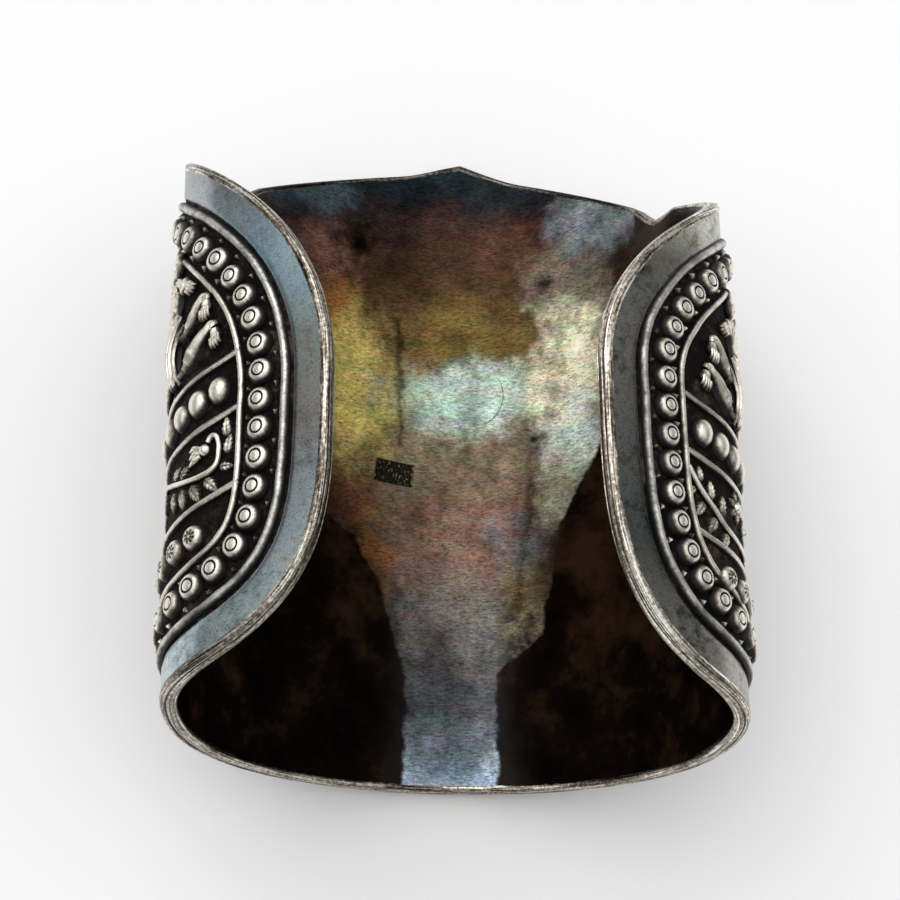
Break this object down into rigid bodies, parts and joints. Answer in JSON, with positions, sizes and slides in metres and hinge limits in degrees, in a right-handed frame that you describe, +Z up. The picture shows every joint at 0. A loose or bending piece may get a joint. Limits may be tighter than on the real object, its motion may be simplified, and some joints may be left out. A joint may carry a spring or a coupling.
{
  "type": "wide open cuff bangle",
  "caption": "Wide open silver cuff with a smooth liner, a rounded rim and a chased outer sheet: bossed border, pearl rows, a vine and dancers.",
  "frame": {"origin": "on the ground under the middle of the cuff, which lies on the middle of its front with the gap up", "axes": "+Y runs along the wrist toward the peaked edge, +X across the wrist, +Z up through the gap"},
  "size_m": [0.0646, 0.0848, 0.0487],
  "materials": {
    "silver": "oxidised silver, worn bright on the raised work and tarnished inside"
  },
  "bodies": {
    "root": {"cuff": "silver"}
  },
  "joints": []
}
